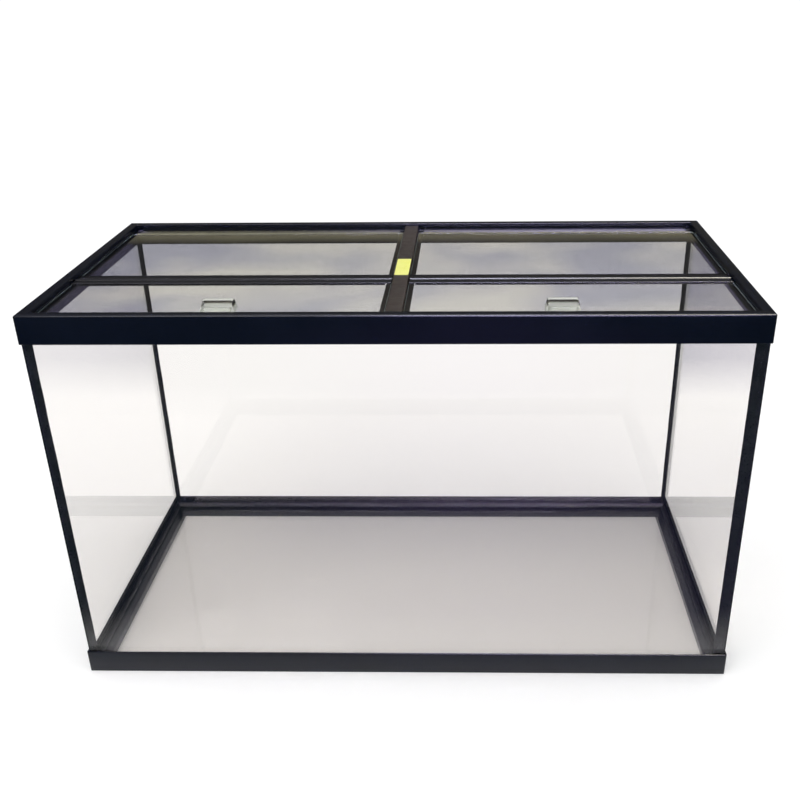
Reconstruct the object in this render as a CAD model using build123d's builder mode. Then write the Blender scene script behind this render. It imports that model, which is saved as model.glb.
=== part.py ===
from build123d import *
import os

# Rimmed glass display tank with two hinged glass lids.
# Millimetres. Origin at the bottom centre, +Z up, front towards -Y, X across the width.
# Names ending in _d are distances in from the outer face, _z, _z0 and _z1 are heights.

os.makedirs("parts", exist_ok=True)

width = 1232.0
depth = 616.0
height = 728.0

# ---------------------------------------------------------------- rim dimensions
skirt_t = 2.6
corner_r = 3.0
overlap = 0.5  # how far rim features run into each other so that they fuse
skirt_in_d = skirt_t - overlap

rib_d = 3.4
rib_t = 2.4
rib_end_gap = 60.0
long_side_ribs, short_side_ribs = 12, 6

# bottom rim
base_h = 46.0
base_round = 1.2
foot_t = 3.0
outer_foot_d1 = 14.0
inner_foot_d0, inner_foot_d1 = 27.0, 34.0
shelf_t = 3.0
shelf_d1 = 36.0
shelf_wall_d0 = 33.0
base_rib_z1 = 40.0
base_web_d0, base_web_d1 = 3.0, 33.5

# top rim
rim_h = 50.0
flange_d = 19.0
flange_t = 3.0
inner_wall_t = 3.0
ledge_d0, ledge_d1 = 13.8, 32.0
ledge_top = 713.0
ledge_t = 3.0
ledge_under = ledge_top - ledge_t
lip_d0, lip_d1 = 13.8, 16.3
lip_bottom = 698.0
top_rib_z0 = 684.0
rim_outer_round, rim_inner_round = 3.0, 0.8

# ---------------------------------------------------------------- glass and silicone dimensions
pane_t = 10.0
pane_d = 3.6
pane_z0 = 15.0
pane_z1 = 709.5
pane_x1 = width / 2 - pane_d
pane_y1 = depth / 2 - pane_d
pane_x0 = pane_x1 - pane_t
pane_y0 = pane_y1 - pane_t
floor_z1 = pane_z0 + pane_t
arris = 0.5

seam_t = 1.0
seam_leg = 8.0
seam_leg_front_left, seam_leg_front_right = 5.5, 11.0
seam_setback = 0.5  # corner joint stops short of the pane's outer face and top
fillet_z0 = floor_z1 + seam_leg + 0.4
fillet_z1 = lip_bottom - 0.5
floor_seam_edge = 0.6  # thickness of the floor seam's top edge
top_bead_d0, top_bead_d1 = pane_d + 0.6, pane_d + pane_t - 0.8
top_bead_h = 3.0
base_bead_z0, base_bead_h = 41.0, 4.0

# ---------------------------------------------------------------- centre brace dimensions
brace_half = 14.0
brace_top = 723.5
brace_wall = 2.5
brace_ledge_half = 25.0
brace_end_gap = 0.3
brace_in = depth / 2 - ledge_d1 - brace_end_gap
brace_end = depth / 2 - flange_d - brace_end_gap
brace_end_solid = 8.0
brace_round = 1.0
brace_web_y, brace_web_count = 200.0, 7
brace_web_half, brace_web_t = brace_half - 1.0, 2.2
brace_web_z0, brace_web_z1 = ledge_top - 1.5, brace_top - 2.0

hook_x0, hook_x1 = 4.0, 10.0
hook_y0, hook_y1 = 279.0, 284.0
hook_z0 = 705.5
hook_shank_y1 = hook_y1 - 1.6
hook_shank_z1 = ledge_top + 1.3
barb_y, barb_t = hook_y0 - 0.2, 2.0
barb_z1 = ledge_under - 0.4
slot_clearance = 0.8

label_w, label_y0, label_y1, label_t = 26.0, -73.0, 32.0, 0.25
label_r = 1.5

# ---------------------------------------------------------------- lid dimensions
lid_z0 = ledge_top + 0.1
lid_t = 5.0
lid_z1 = lid_z0 + lid_t
lid_x0, lid_x1 = 16.0, 595.0
low_x0, low_x1 = 27.0, 582.0  # X range of the parts below the lid glass
flap_front = -287.0
rear_back = 251.0
flap_corner_r, rear_corner_r = 3.0, 8.0
lid_arris = 0.4

hinge_y, hinge_z = -86.0, 720.5
hinge_half_gap = 1.5
hinge_web_r = 1.3
web_front_y = hinge_y - hinge_half_gap
web_rear_y = hinge_y + hinge_half_gap

channel_web = 2.0
channel_leg = 1.7
channel_fit = 0.1
channel_round = 0.6
front_channel, rear_channel = 20.0, 26.5
leg_top_z = lid_z1 + channel_fit
leg_low_z = lid_z0 - channel_fit

glass_gap = 0.2
flap_back = web_front_y - channel_web - glass_gap
rear_front = web_rear_y + channel_web + glass_gap

strip_t = 1.3
strip_y0 = rear_back - 11.5
strip_wall_y0 = rear_back + 0.2
strip_wall_y1 = strip_wall_y0 + strip_t
strip_tail_y1 = 287.0
strip_tail_inset = 2.0

# ---------------------------------------------------------------- finger handle dimensions
handle_left_x, handle_right_x = -292.5, 279.0
pad_t, pad_r = 0.5, 2.0
pad_inset_x, pad_inset_y = 3.0, 2.0
handle_z0, handle_z1 = lid_z1 + pad_t, 737.0
handle_base_half, handle_top_half = 30.0, 24.5
handle_y0, handle_y1 = -276.0, -239.5
handle_top_y0, handle_top_y1 = -253.0, -243.0
handle_base_wall, handle_top_wall = 3.2, 2.2
handle_floor_t, handle_roof_t = 2.2, 2.2
handle_side_round, handle_top_round = 1.5, 1.2
cup_front_run = 8.0  # how far the cutter for the cup runs out past the front
front_wall_half, front_wall_t = 21.5, 2.8
front_wall_y = -266.0
front_wall_z1 = 726.7


# ---------------------------------------------------------------- shared helpers
def rect(x0, x1, y0, y1):
    """Rectangle between two X and two Y positions, given in either order."""
    with Locations(((x0 + x1) / 2, (y0 + y1) / 2)):
        Rectangle(abs(x1 - x0), abs(y1 - y0))


def ring(d0, d1, radius=0.0):
    """Rectangular ring between two distances in from the outer face."""
    if radius:
        RectangleRounded(width - 2 * d0, depth - 2 * d0, radius)
    else:
        Rectangle(width - 2 * d0, depth - 2 * d0)
    Rectangle(width - 2 * d1, depth - 2 * d1, mode=Mode.SUBTRACT)


def spaced(first, last, count):
    """Evenly spaced positions, both ends included."""
    return [first + (last - first) * i / (count - 1) for i in range(count)]


def rim_rib(on_long_side, side, along, d0, d1):
    """Outline of a rib across one side of a rim, from d0 to d1 in from the outer face."""
    near, far = along - rib_t / 2, along + rib_t / 2
    if on_long_side:
        rect(near, far, side * (depth / 2 - d0), side * (depth / 2 - d1))
    else:
        rect(side * (width / 2 - d0), side * (width / 2 - d1), near, far)


# rib sites: on a front or back side?, sign of the side, position along the side
rib_sites = [
    (on_long_side, side, along)
    for on_long_side, length, count in (
        (True, width, long_side_ribs),
        (False, depth, short_side_ribs),
    )
    for along in spaced(-length / 2 + rib_end_gap, length / 2 - rib_end_gap, count)
    for side in (-1, 1)
]


def top_edges(part):
    return part.faces().filter_by(Axis.Z).group_by(Axis.Z)[-1].edges()


def past_face(edge):
    """How far an edge's centre lies outside the outer faces, negative when inside."""
    return max(abs(edge.center().X) - width / 2, abs(edge.center().Y) - depth / 2)


def hook_pair(y):
    """Centres of the two hooks or slots at one end of the brace."""
    x = (hook_x0 + hook_x1) / 2
    return (x, y), (-x, y)


def save(part, name):
    part.label = name
    export_step(part, "parts/" + name + ".step")


# ---------------------------------------------------------------- rims
def make_bottom_frame():
    shelf_z0 = pane_z0 - shelf_t
    # outer d, inner d, corner radius, bottom z, top z
    rings = (
        (0, skirt_t, corner_r, 0, base_h),
        (skirt_in_d, outer_foot_d1, 0, 0, foot_t),
        (skirt_in_d, shelf_d1, 0, shelf_z0, pane_z0),
        (shelf_wall_d0, shelf_d1, 0, 0, pane_z0),
        (inner_foot_d0, inner_foot_d1, 0, 0, foot_t),
    )
    # locating ribs between skirt and glass, then stiffening webs under the shelf
    ribs = (
        (skirt_in_d, rib_d, pane_z0 - overlap, base_rib_z1),
        (base_web_d0, base_web_d1, foot_t - overlap, shelf_z0 + overlap),
    )
    with BuildPart() as frame:
        for d0, d1, radius, z0, z1 in rings:
            with BuildSketch(Plane.XY.offset(z0)):
                ring(d0, d1, radius)
            extrude(amount=z1 - z0)
        for site in rib_sites:
            for d0, d1, z0, z1 in ribs:
                with BuildSketch(Plane.XY.offset(z0)):
                    rim_rib(*site, d0, d1)
                extrude(amount=z1 - z0)
        fillet([e for e in top_edges(frame) if past_face(e) > -1.0], base_round)
    save(frame.part, "bottom_frame")


def make_top_frame():
    # outer d, inner d, corner radius, bottom z, top z
    rings = (
        (0, skirt_t, corner_r, height - rim_h, height),
        (skirt_in_d, flange_d, 0, height - flange_t, height),
        (flange_d - inner_wall_t, flange_d, 0, ledge_under, height),
        (ledge_d0, ledge_d1, 0, ledge_under, ledge_top),
        (lip_d0, lip_d1, 0, lip_bottom, ledge_under + overlap),
    )
    with BuildPart() as frame:
        for d0, d1, radius, z0, z1 in rings:
            with BuildSketch(Plane.XY.offset(z0)):
                ring(d0, d1, radius)
            extrude(amount=z1 - z0)
        for site in rib_sites:
            with BuildSketch(Plane.XY.offset(top_rib_z0)):
                rim_rib(*site, skirt_in_d, rib_d)
            extrude(amount=height - flange_t + overlap - top_rib_z0)
        # slots for the brace's hooks
        for end in (-1, 1):
            with BuildSketch(Plane.XY.offset(ledge_under - 1)):
                with Locations(*hook_pair(end * (hook_y0 + hook_y1) / 2)):
                    Rectangle(
                        hook_x1 - hook_x0 + slot_clearance,
                        hook_y1 - hook_y0 + slot_clearance,
                    )
            extrude(amount=ledge_t + 2, mode=Mode.SUBTRACT)
        # both edge sets are picked before the first fillet changes the top face
        edges = top_edges(frame)
        outer = [e for e in edges if past_face(e) > -1.0]
        inner = [e for e in edges if past_face(e) < -flange_d + 0.5]
        fillet(outer, rim_outer_round)
        fillet(inner, rim_inner_round)
    save(frame.part, "top_frame")


# ---------------------------------------------------------------- glass tank
def make_long_pane(name, side):
    with BuildPart() as pane:
        with BuildSketch(Plane.XY.offset(pane_z0)):
            rect(-pane_x1, pane_x1, side * pane_y0, side * pane_y1)
        extrude(amount=pane_z1 - pane_z0)
        chamfer(pane.edges().filter_by(Axis.Z), arris)
    save(pane.part, name)


def make_end_pane(name, side):
    half_length = pane_y0 - seam_t
    with BuildPart() as pane:
        with BuildSketch(Plane.XY.offset(pane_z0)):
            rect(side * pane_x0, side * pane_x1, -half_length, half_length)
        extrude(amount=pane_z1 - pane_z0)
    save(pane.part, name)


def make_bottom_pane():
    with BuildPart() as pane:
        with BuildSketch(Plane.XY.offset(pane_z0)):
            Rectangle(2 * (pane_x0 - seam_t), 2 * (pane_y0 - seam_t))
        extrude(amount=pane_t)
    save(pane.part, "bottom_pane")


# ---------------------------------------------------------------- black silicone
def make_corner_seam(name, side_x, side_y, leg):
    """Joint between two panes with a rounded bead inside the corner."""
    bulge = leg * (1 - 0.70710678)
    on_end_pane = (side_x * pane_x0, side_y * (pane_y0 - leg))
    arc_middle = (side_x * (pane_x0 - bulge), side_y * (pane_y0 - bulge))
    on_long_pane = (side_x * (pane_x0 - leg), side_y * pane_y0)
    corner = (side_x * pane_x0, side_y * pane_y0)
    with BuildPart() as seam:
        with BuildSketch(Plane.XY.offset(pane_z0)):
            rect(
                side_x * pane_x0, side_x * (pane_x1 - seam_setback),
                side_y * (pane_y0 - seam_t), side_y * pane_y0,
            )
        extrude(amount=pane_z1 - seam_setback - pane_z0)
        with BuildSketch(Plane.XY.offset(fillet_z0)):
            with BuildLine():
                ThreePointArc(on_end_pane, arc_middle, on_long_pane)
                Line(on_long_pane, corner)
                Line(corner, on_end_pane)
            make_face()
        extrude(amount=fillet_z1 - fillet_z0)
    save(seam.part, "corner_seam_" + name)


def make_bottom_seam():
    """Joint round the floor pane, with a sloping bead above it."""
    with BuildPart() as seam:
        with BuildSketch(Plane.XY.offset(pane_z0)):
            Rectangle(2 * pane_x0, 2 * pane_y0)
            Rectangle(2 * (pane_x0 - seam_t), 2 * (pane_y0 - seam_t), mode=Mode.SUBTRACT)
        extrude(amount=pane_t)
        with BuildSketch(Plane.XY.offset(floor_z1)):
            Rectangle(2 * pane_x0, 2 * pane_y0)
        extrude(amount=seam_leg)
        with BuildSketch(Plane.XY.offset(floor_z1)):
            Rectangle(2 * (pane_x0 - seam_leg), 2 * (pane_y0 - seam_leg))
        with BuildSketch(Plane.XY.offset(floor_z1 + seam_leg)):
            Rectangle(2 * (pane_x0 - floor_seam_edge), 2 * (pane_y0 - floor_seam_edge))
        loft(mode=Mode.SUBTRACT)
    save(seam.part, "bottom_seam")


def make_frame_bead(name, d0, d1, z0, bead_h):
    with BuildPart() as bead:
        with BuildSketch(Plane.XY.offset(z0)):
            ring(d0, d1)
        extrude(amount=bead_h)
    save(bead.part, name)


# ---------------------------------------------------------------- centre brace
def make_centre_brace():
    # half width, half length, bottom z, top z
    plates = (
        (brace_half, brace_end, ledge_top + 0.3, brace_top),
        (brace_ledge_half, brace_in, ledge_under, ledge_top),
        (brace_half, brace_in, ledge_top - 0.2, ledge_top + 0.8),
    )
    # hook shank, then its barb: centre y, y size, top z
    hook_blocks = (
        ((hook_y0 + hook_shank_y1) / 2, hook_shank_y1 - hook_y0, hook_shank_z1),
        (barb_y, barb_t, barb_z1),
    )
    with BuildPart() as brace:
        for half_width, half_length, z0, z1 in plates:
            with BuildSketch(Plane.XY.offset(z0)):
                Rectangle(2 * half_width, 2 * half_length)
            extrude(amount=z1 - z0)
        # hollow underside
        hollow_z0 = ledge_under - 1
        with BuildSketch(Plane.XY.offset(hollow_z0)):
            Rectangle(2 * (brace_half - brace_wall), 2 * (brace_in - brace_end_solid))
        extrude(amount=brace_top - brace_wall - hollow_z0, mode=Mode.SUBTRACT)
        # cross webs in the underside
        for y in spaced(-brace_web_y, brace_web_y, brace_web_count):
            with BuildSketch(Plane.XY.offset(brace_web_z0)):
                with Locations((0, y)):
                    Rectangle(2 * brace_web_half, brace_web_t)
            extrude(amount=brace_web_z1 - brace_web_z0)
        # snap hooks at both ends
        for end in (-1, 1):
            for y, y_size, z1 in hook_blocks:
                with BuildSketch(Plane.XY.offset(hook_z0)):
                    with Locations(*hook_pair(end * y)):
                        Rectangle(hook_x1 - hook_x0, y_size)
                extrude(amount=z1 - hook_z0)
        fillet(top_edges(brace).filter_by(Axis.Y), brace_round)
    save(brace.part, "centre_brace")


def make_brace_label():
    with BuildPart() as label:
        with BuildSketch(Plane.XY.offset(brace_top)):
            with Locations((0, (label_y0 + label_y1) / 2)):
                RectangleRounded(label_w, label_y1 - label_y0, label_r)
        extrude(amount=label_t)
    save(label.part, "brace_label")


# ---------------------------------------------------------------- lids
# In these functions side is -1 for the left lid and 1 for the right.
def make_lid_glass(name, side, y0, y1, rounded_row, radius):
    """Lid pane; rounded_row picks its front (0) or back (-1) corners for rounding."""
    with BuildPart() as glass:
        with BuildSketch(Plane.XY.offset(lid_z0)):
            rect(side * lid_x0, side * lid_x1, y0, y1)
        extrude(amount=lid_t)
        fillet(glass.edges().filter_by(Axis.Z).group_by(Axis.Y)[rounded_row], radius)
        chamfer(glass.faces().filter_by(Axis.Z).edges(), lid_arris)
    save(glass.part, name)


def make_hinge_channel(name, side, web_y, reach):
    """U channel gripping a lid pane; reach is signed, from the web towards the pane."""
    web_far_y = web_y + (channel_web if reach > 0 else -channel_web)
    leg_far_y = web_y + reach
    low_z0 = leg_low_z - channel_leg
    # Web and upper leg run along the whole lid. The lower web and leg are cut back
    # so that the lid sits flat on its ledges.
    # inner x, outer x, far y, bottom z, top z
    blocks = (
        (lid_x0, lid_x1, web_far_y, lid_z0, leg_top_z + channel_leg),
        (lid_x0, lid_x1, leg_far_y, leg_top_z, leg_top_z + channel_leg),
        (low_x0, low_x1, web_far_y, low_z0, leg_low_z + 1.0),
        (low_x0, low_x1, leg_far_y, low_z0, leg_low_z),
    )
    with BuildPart() as channel:
        for x0, x1, far_y, z0, z1 in blocks:
            with BuildSketch(Plane.XY.offset(z0)):
                rect(side * x0, side * x1, web_y, far_y)
            extrude(amount=z1 - z0)
        fillet(top_edges(channel).filter_by(Axis.X), channel_round)
    save(channel.part, name)


def make_hinge_web(name, side):
    """Round bar along the hinge line."""
    with BuildPart() as web:
        with BuildSketch(Plane.YZ.offset(side * lid_x0)):
            with Locations((hinge_y, hinge_z)):
                Circle(hinge_web_r)
        extrude(amount=side * (lid_x1 - lid_x0))
    save(web.part, name)


def make_back_strip(name, side):
    """Soft clear strip gripping the rear edge, its tail lying on the rear ledge."""
    low_z0 = leg_low_z - strip_t
    top_z1 = leg_top_z + strip_t
    tail_x0, tail_x1 = lid_x0 + strip_tail_inset, lid_x1 - strip_tail_inset
    # lower leg, wall, upper leg, tail: inner x, outer x, front y, back y, bottom z, top z
    blocks = (
        (low_x0, low_x1, strip_y0, strip_wall_y1, low_z0, leg_low_z),
        (low_x0, low_x1, strip_wall_y0, strip_wall_y1, low_z0, top_z1),
        (low_x0, low_x1, strip_y0, strip_wall_y1, leg_top_z, top_z1),
        (tail_x0, tail_x1, strip_wall_y0, strip_tail_y1, lid_z0, lid_z0 + strip_t),
    )
    with BuildPart() as strip:
        for x0, x1, y0, y1, z0, z1 in blocks:
            with BuildSketch(Plane.XY.offset(z0)):
                rect(side * x0, side * x1, y0, y1)
            extrude(amount=z1 - z0)
    save(strip.part, name)


def make_handle_pad(name, centre_x):
    with BuildPart() as pad:
        with BuildSketch(Plane.XY.offset(lid_z1)):
            with Locations((centre_x, (handle_y0 + handle_y1) / 2)):
                RectangleRounded(
                    2 * (handle_base_half - pad_inset_x),
                    handle_y1 - handle_y0 - 2 * pad_inset_y,
                    pad_r,
                )
        extrude(amount=pad_t)
    save(pad.part, name)


def make_handle(name, centre_x):
    """Clear finger cup open to the front, with a low front wall."""
    cup_base_half = handle_base_half - handle_base_wall
    cup_top_half = handle_top_half - handle_top_wall
    with BuildPart() as handle:
        with BuildSketch(Plane.XY.offset(handle_z0)):
            rect(centre_x - handle_base_half, centre_x + handle_base_half, handle_y0, handle_y1)
        with BuildSketch(Plane.XY.offset(handle_z1)):
            rect(
                centre_x - handle_top_half, centre_x + handle_top_half,
                handle_top_y0, handle_top_y1,
            )
        loft()
        # back upright edges, then the back top edge
        upright = handle.edges().filter_by(lambda e: abs(e.tangent_at(0.5).Z) > 0.3)
        fillet(upright.group_by(Axis.Y)[-1], handle_side_round)
        fillet(top_edges(handle).group_by(Axis.Y)[-1], handle_top_round)
        # the hollow
        with BuildSketch(Plane.XY.offset(handle_z0 + handle_floor_t)):
            rect(
                centre_x - cup_base_half, centre_x + cup_base_half,
                handle_y0 - cup_front_run, handle_y1 - handle_base_wall,
            )
        with BuildSketch(Plane.XY.offset(handle_z1 - handle_roof_t)):
            rect(
                centre_x - cup_top_half, centre_x + cup_top_half,
                handle_top_y0 - cup_front_run, handle_top_y1 - handle_top_wall,
            )
        loft(mode=Mode.SUBTRACT)
        # low front wall
        with BuildSketch(Plane.XY.offset(handle_z0)):
            with Locations((centre_x, front_wall_y)):
                Rectangle(2 * front_wall_half, front_wall_t)
        extrude(amount=front_wall_z1 - handle_z0)
    save(handle.part, name)


# ---------------------------------------------------------------- build every piece
make_bottom_frame()
make_long_pane("front_pane", -1)
make_long_pane("back_pane", 1)
make_end_pane("left_pane", -1)
make_end_pane("right_pane", 1)
make_bottom_pane()

# the hand-run corner beads differ in width
make_corner_seam("front_left", -1, -1, seam_leg_front_left)
make_corner_seam("front_right", 1, -1, seam_leg_front_right)
make_corner_seam("back_left", -1, 1, seam_leg)
make_corner_seam("back_right", 1, 1, seam_leg)
make_bottom_seam()
make_frame_bead("top_frame_bead", top_bead_d0, top_bead_d1, pane_z1, top_bead_h)
make_frame_bead("bottom_frame_bead", skirt_t, pane_d, base_bead_z0, base_bead_h)

make_top_frame()
make_centre_brace()
make_brace_label()

for prefix, side, handle_x in (("left_", -1, handle_left_x), ("right_", 1, handle_right_x)):
    make_lid_glass(prefix + "front_glass", side, flap_front, flap_back, 0, flap_corner_r)
    make_lid_glass(prefix + "rear_glass", side, rear_front, rear_back, -1, rear_corner_r)
    make_hinge_channel(prefix + "front_hinge_channel", side, web_front_y, -front_channel)
    make_hinge_channel(prefix + "rear_hinge_channel", side, web_rear_y, rear_channel)
    make_hinge_web(prefix + "hinge_web", side)
    make_back_strip(prefix + "back_strip", side)
    make_handle_pad(prefix + "handle_pad", handle_x)
    make_handle(prefix + "handle", handle_x)
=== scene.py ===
# A rimmed glass tank with a centre brace and, left and right of it, a folding glass lid.
# The tank stands on z = 0, centred on x = y = 0. Its long sides run along X and it faces -Y.
# The front glass of each lid (the flap) folds on the rear glass (the lid) along a film hinge.
# Shapes are worked out in millimetres. Materials, floor, light and camera are in metres.
import bpy
import bmesh
import math
from types import SimpleNamespace
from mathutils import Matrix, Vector, noise

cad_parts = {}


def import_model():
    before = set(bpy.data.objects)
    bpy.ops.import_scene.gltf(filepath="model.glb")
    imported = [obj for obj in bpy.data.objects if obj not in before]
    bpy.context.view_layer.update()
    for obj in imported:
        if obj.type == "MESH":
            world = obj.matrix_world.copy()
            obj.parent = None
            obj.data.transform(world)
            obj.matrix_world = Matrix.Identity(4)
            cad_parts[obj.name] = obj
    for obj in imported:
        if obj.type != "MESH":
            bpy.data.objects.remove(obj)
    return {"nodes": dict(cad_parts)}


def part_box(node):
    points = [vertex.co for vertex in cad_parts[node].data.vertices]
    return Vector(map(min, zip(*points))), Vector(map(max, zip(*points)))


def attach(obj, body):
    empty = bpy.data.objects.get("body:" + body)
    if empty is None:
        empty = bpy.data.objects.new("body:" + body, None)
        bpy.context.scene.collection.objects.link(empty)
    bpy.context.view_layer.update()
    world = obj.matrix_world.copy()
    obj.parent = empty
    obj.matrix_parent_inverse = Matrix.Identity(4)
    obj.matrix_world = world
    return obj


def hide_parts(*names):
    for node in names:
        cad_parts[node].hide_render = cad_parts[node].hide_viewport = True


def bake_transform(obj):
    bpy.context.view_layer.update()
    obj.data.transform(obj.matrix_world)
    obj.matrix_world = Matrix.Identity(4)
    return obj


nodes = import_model()["nodes"]
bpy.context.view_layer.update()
MM = 0.001


def box_mm(node):
    """Bounds of a CAD piece in millimetres."""
    lo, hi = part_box(node)
    return SimpleNamespace(x0=lo.x * 1000, x1=hi.x * 1000, y0=lo.y * 1000, y1=hi.y * 1000,
                           z0=lo.z * 1000, z1=hi.z * 1000)


# ------------------------------------------------------------------ sizes, mm
top_frame = box_mm("top_frame")
front_pane = box_mm("front_pane")
WIDTH = top_frame.x1 - top_frame.x0
DEPTH = top_frame.y1 - top_frame.y0
RIM_TOP, RIM_BOTTOM = top_frame.z1, top_frame.z0
BASE_TOP = box_mm("bottom_frame").z1
INNER_X = box_mm("right_pane").x0          # centre to the inner face of an end pane
INNER_Y = -front_pane.y1                   # centre to the inner face of a long pane
PANE_BOTTOM, PANE_TOP = front_pane.z0, front_pane.z1
FLOOR_TOP = box_mm("bottom_pane").z1

CORNER_RADIUS = 3.0                        # upright outer corners of the rims
MIN_CORNER_RADIUS = 0.4
RIM_WALL = 3.0                             # plate thickness in the rims
SKIRT = 2.6                                # thickness of the rims' outer wall
LEDGE = 713.0                              # top of the inner ledge that carries lids and brace
LEDGE_REACH = 32.0                         # inner edge of the ledge, from the outer face
GAP = 0.06                                 # clearance between silicone and glass


# ------------------------------------------------------------------ mesh helpers
def link(ob):
    bpy.context.scene.collection.objects.link(ob)
    return ob


def from_bmesh(name, bm, smooth=30.0):
    """Object from a bmesh, shaded smooth below the given angle in degrees."""
    mesh = bpy.data.meshes.new(name)
    bm.to_mesh(mesh)
    bm.free()
    mesh.polygons.foreach_set("use_smooth", [True] * len(mesh.polygons))
    mesh.set_sharp_from_angle(angle=math.radians(smooth))
    mesh.update()
    return link(bpy.data.objects.new(name, mesh))


def mesh_object(name, verts, faces, smooth=30.0, **bevel):
    """Closed mesh from points in millimetres. Bevel settings, if any, round every edge."""
    bm = bmesh.new()
    corners = [bm.verts.new([c * MM for c in vert]) for vert in verts]
    for face in faces:
        bm.faces.new([corners[i] for i in face])
    bmesh.ops.recalc_face_normals(bm, faces=bm.faces[:])
    if bevel:
        bmesh.ops.bevel(bm, geom=bm.edges[:], affect="EDGES", profile=0.5, **bevel)
    return from_bmesh(name, bm, smooth)


def wave(x, y, z):
    """Smooth noise at a point."""
    return noise.noise(Vector((x, y, z)))


def arc_profile(points, steps):
    """Closed profile with rounded corners. Each point is (u, v, radius)."""
    out = []
    for i, (u, v, radius) in enumerate(points):
        corner = Vector((u, v))
        back = Vector(points[i - 1][:2]) - corner
        ahead = Vector(points[(i + 1) % len(points)][:2]) - corner
        if radius <= 0 or back.length < 1e-6 or ahead.length < 1e-6:
            out.append((u, v))
            continue
        back_length, ahead_length = back.length, ahead.length
        back.normalize()
        ahead.normalize()
        half = math.acos(max(-1.0, min(1.0, back.dot(ahead)))) / 2
        # a fold or a straight run has no corner to round
        if half < 0.05 or half > math.pi / 2 - 0.02:
            out.append((u, v))
            continue
        cut = min(radius / math.tan(half), back_length * 0.48, ahead_length * 0.48)
        fitted = cut * math.tan(half)
        centre = corner + (back + ahead).normalized() * (fitted / math.sin(half))
        start = corner + back * cut - centre
        end = corner + ahead * cut - centre
        start_angle = math.atan2(start.y, start.x)
        turn = math.atan2(end.y, end.x) - start_angle
        turn = (turn + math.pi) % (2 * math.pi) - math.pi
        for k in range(steps + 1):
            angle = start_angle + turn * k / steps
            out.append((centre.x + fitted * math.cos(angle), centre.y + fitted * math.sin(angle)))
    return out


def inset_profile(profile, amount):
    """Moves each point inwards along its corner's bisector."""
    count = len(profile)
    area = sum(profile[i][0] * profile[(i + 1) % count][1]
               - profile[(i + 1) % count][0] * profile[i][1] for i in range(count)) / 2
    sign = 1.0 if area > 0 else -1.0
    out = []
    for i in range(count):
        point = Vector(profile[i])
        before = point - Vector(profile[i - 1])
        after = Vector(profile[(i + 1) % count]) - point
        if before.length < 1e-6 or after.length < 1e-6:
            out.append(profile[i])
            continue
        before.normalize()
        after.normalize()
        normal = Vector((-before.y, before.x)) * sign
        bisector = normal + Vector((-after.y, after.x)) * sign
        if bisector.length < 1e-4:
            bisector = normal
        bisector.normalize()
        moved = point + bisector * (amount / max(0.5, bisector.dot(normal)))
        out.append((moved.x, moved.y))
    return out


def loft(name, sections, smooth=30.0):
    """Skins closed sections of equal point count and caps both ends."""
    count = len(sections[0])
    last = (len(sections) - 1) * count
    faces = []
    for a in range(0, last, count):
        for j in range(count):
            k = (j + 1) % count
            faces.append((a + j, a + k, a + count + k, a + count + j))
    faces.append(tuple(range(count))[::-1])
    faces.append(tuple(range(last, last + count)))
    return mesh_object(name, [point for section in sections for point in section], faces, smooth)


def along_x(u, v, s):
    return (s, u, v)


def along_y(u, v, s):
    return (u, s, v)


def along_z(u, v, s):
    return (u, v, s)


def extrude(name, profile, start, end, steps=1, place=along_x, bevel=0.0, ripple=None,
            smooth=30.0):
    """Extrudes a closed profile. ripple(u, v, station) gives an offset for each point."""
    stations = [start + (end - start) * i / steps for i in range(steps + 1)]
    end_profile = profile
    if bevel > 0:
        edge = math.copysign(bevel, end - start)
        stations = [start, start + edge, *stations[1:-1], end - edge, end]
        end_profile = inset_profile(profile, bevel)
    sections = []
    for i, station in enumerate(stations):
        section = []
        for u, v in end_profile if i in (0, len(stations) - 1) else profile:
            du, dv = ripple(u, v, station) if ripple else (0.0, 0.0)
            section.append(place(u + du, v + dv, station))
        sections.append(section)
    return loft(name, sections, smooth)


def ring_path(inset, side_steps, corner_steps):
    """Rounded rectangle, inset from the outer faces. The point count ignores the inset."""
    half_x, half_y = WIDTH / 2 - inset, DEPTH / 2 - inset
    radius = max(CORNER_RADIUS - inset, MIN_CORNER_RADIUS)
    # signs of x and y and start angle: front right, back right, back left, front left
    corners = [(1, -1, -90), (1, 1, 0), (-1, 1, 90), (-1, -1, 180)]

    def corner_point(corner, step):
        sign_x, sign_y, start = corners[corner % 4]
        angle = math.radians(start + 90 * step / corner_steps)
        return (sign_x * (half_x - radius) + radius * math.cos(angle),
                sign_y * (half_y - radius) + radius * math.sin(angle))

    points = []
    for corner in range(4):
        points += [corner_point(corner, step) for step in range(corner_steps + 1)]
        (x0, y0), (x1, y1) = points[-1], corner_point(corner + 1, 0)
        steps = side_steps[corner % 2]
        for j in range(1, steps):
            t = j / steps
            points.append((x0 + (x1 - x0) * t, y0 + (y1 - y0) * t))
    return points


def ring_sweep(name, profile, side_steps, corner_steps, shift=None, smooth=30.0):
    """Sweeps a closed (inset, z) profile round the tank.

    side_steps is (steps along Y sides, along X sides). shift(i, x, y, z) gives an offset
    for a point that comes from profile point i.
    """
    verts = []
    for i, (inset, z) in enumerate(profile):
        for x, y in ring_path(inset, side_steps, corner_steps):
            dx, dy, dz = shift(i, x, y, z) if shift else (0.0, 0.0, 0.0)
            verts.append((x + dx, y + dy, z + dz))
    rows = len(profile)
    count = len(verts) // rows
    faces = []
    for i in range(rows):
        a, b = i * count, (i + 1) % rows * count
        for j in range(count):
            k = (j + 1) % count
            faces.append((a + j, a + k, b + k, b + j))
    return mesh_object(name, verts, faces, smooth)


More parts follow.
